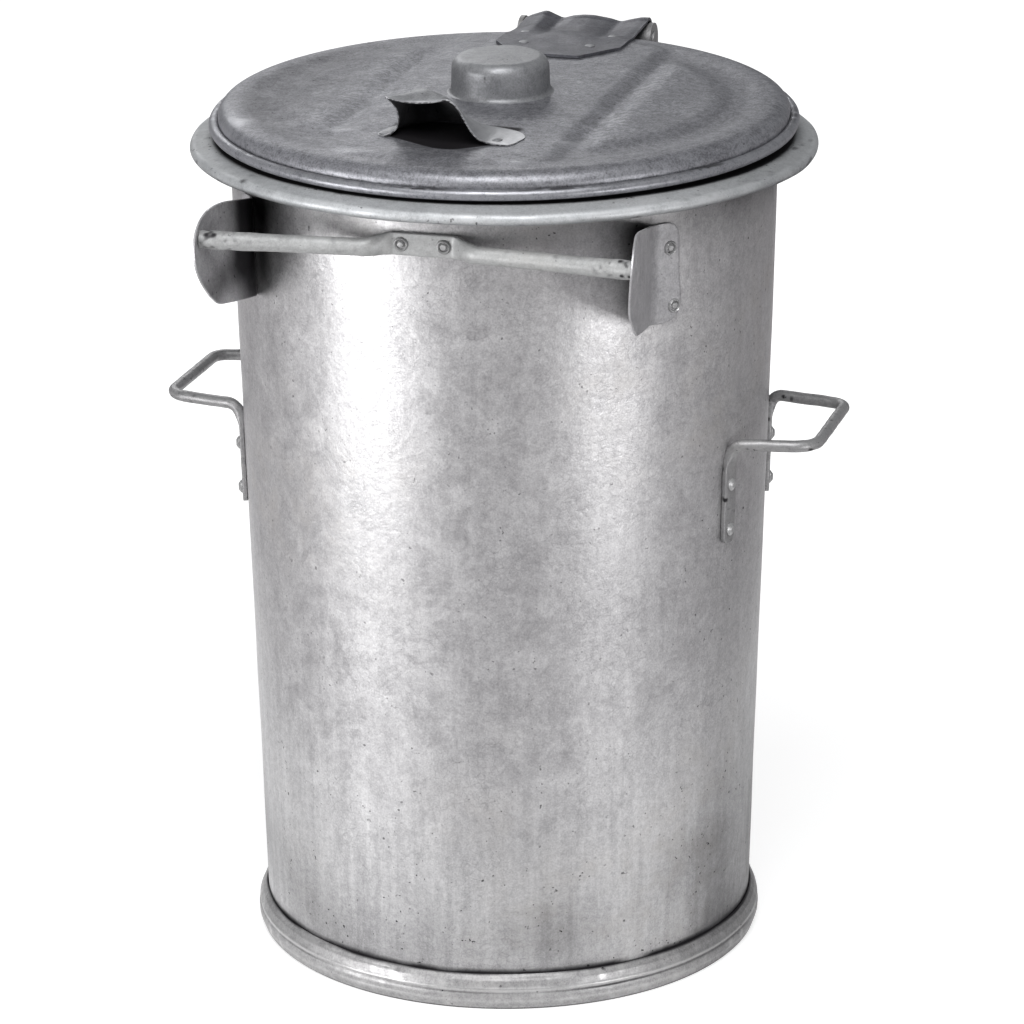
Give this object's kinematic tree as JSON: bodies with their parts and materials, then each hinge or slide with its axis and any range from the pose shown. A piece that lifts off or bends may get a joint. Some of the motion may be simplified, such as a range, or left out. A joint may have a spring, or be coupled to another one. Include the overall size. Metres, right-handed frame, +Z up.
{
  "type": "trash can",
  "caption": "Round galvanized steel bin with a hinged lid, fixed side handles, a tipping rod held between two ears, and a foot ring.",
  "frame": {"origin": "on the floor, on the axis of the round body; the fittings around the body reach equally far on every side", "axes": "+Z up; -Y front, with the tipping rod and the lid's grip; +Y rear, with the hinge; +X and -X the side handles"},
  "size_m": [0.584, 0.5578, 0.7806],
  "materials": {
    "wall_zinc": "hot-dip galvanized sheet, mottled, matt",
    "rim_zinc": "hot-dip galvanized, worn brighter on its edge",
    "lid_zinc": "weathered galvanized sheet, darker and mottled",
    "fitting_zinc": "thick hot-dip zinc, slightly lumpy",
    "rivet_zinc": "zinc-coated rivet steel",
    "steel_wire": "zinc-coated steel rod"
  },
  "bodies": {
    "bin": {"body_shell": "wall_zinc", "foot_ring": "fitting_zinc", "bottom_pan": "wall_zinc", "rim_collar": "rim_zinc", "rim_wire": "steel_wire", "tipping_rod": "fitting_zinc", "tipping_rod_rivets": "rivet_zinc", "ear_right": "fitting_zinc", "ear_left": "fitting_zinc", "ear_rivets_right": "rivet_zinc", "ear_rivets_left": "rivet_zinc", "handle_right": "fitting_zinc", "handle_left": "fitting_zinc", "handle_rivets_right": "rivet_zinc", "handle_rivets_left": "rivet_zinc", "hinge_bracket": "fitting_zinc", "hinge_bracket_rivets": "rivet_zinc", "hinge_pin": "steel_wire", "hinge_sleeve": "steel_wire"},
    "lid": {"lid_shell": "lid_zinc", "lid_wire": "steel_wire", "lid_knob": "lid_zinc", "lid_grip": "lid_zinc", "grip_rivets": "rivet_zinc", "hinge_strap": "lid_zinc", "hinge_strap_rivets": "rivet_zinc"}
  },
  "joints": [
    {"name": "lid_hinge", "type": "hinge", "parent": "bin", "child": "lid", "pos_m": [0, 0.268, 0.737], "axis": [-1, 0, 0], "range_deg": [0, 110]}
  ]
}
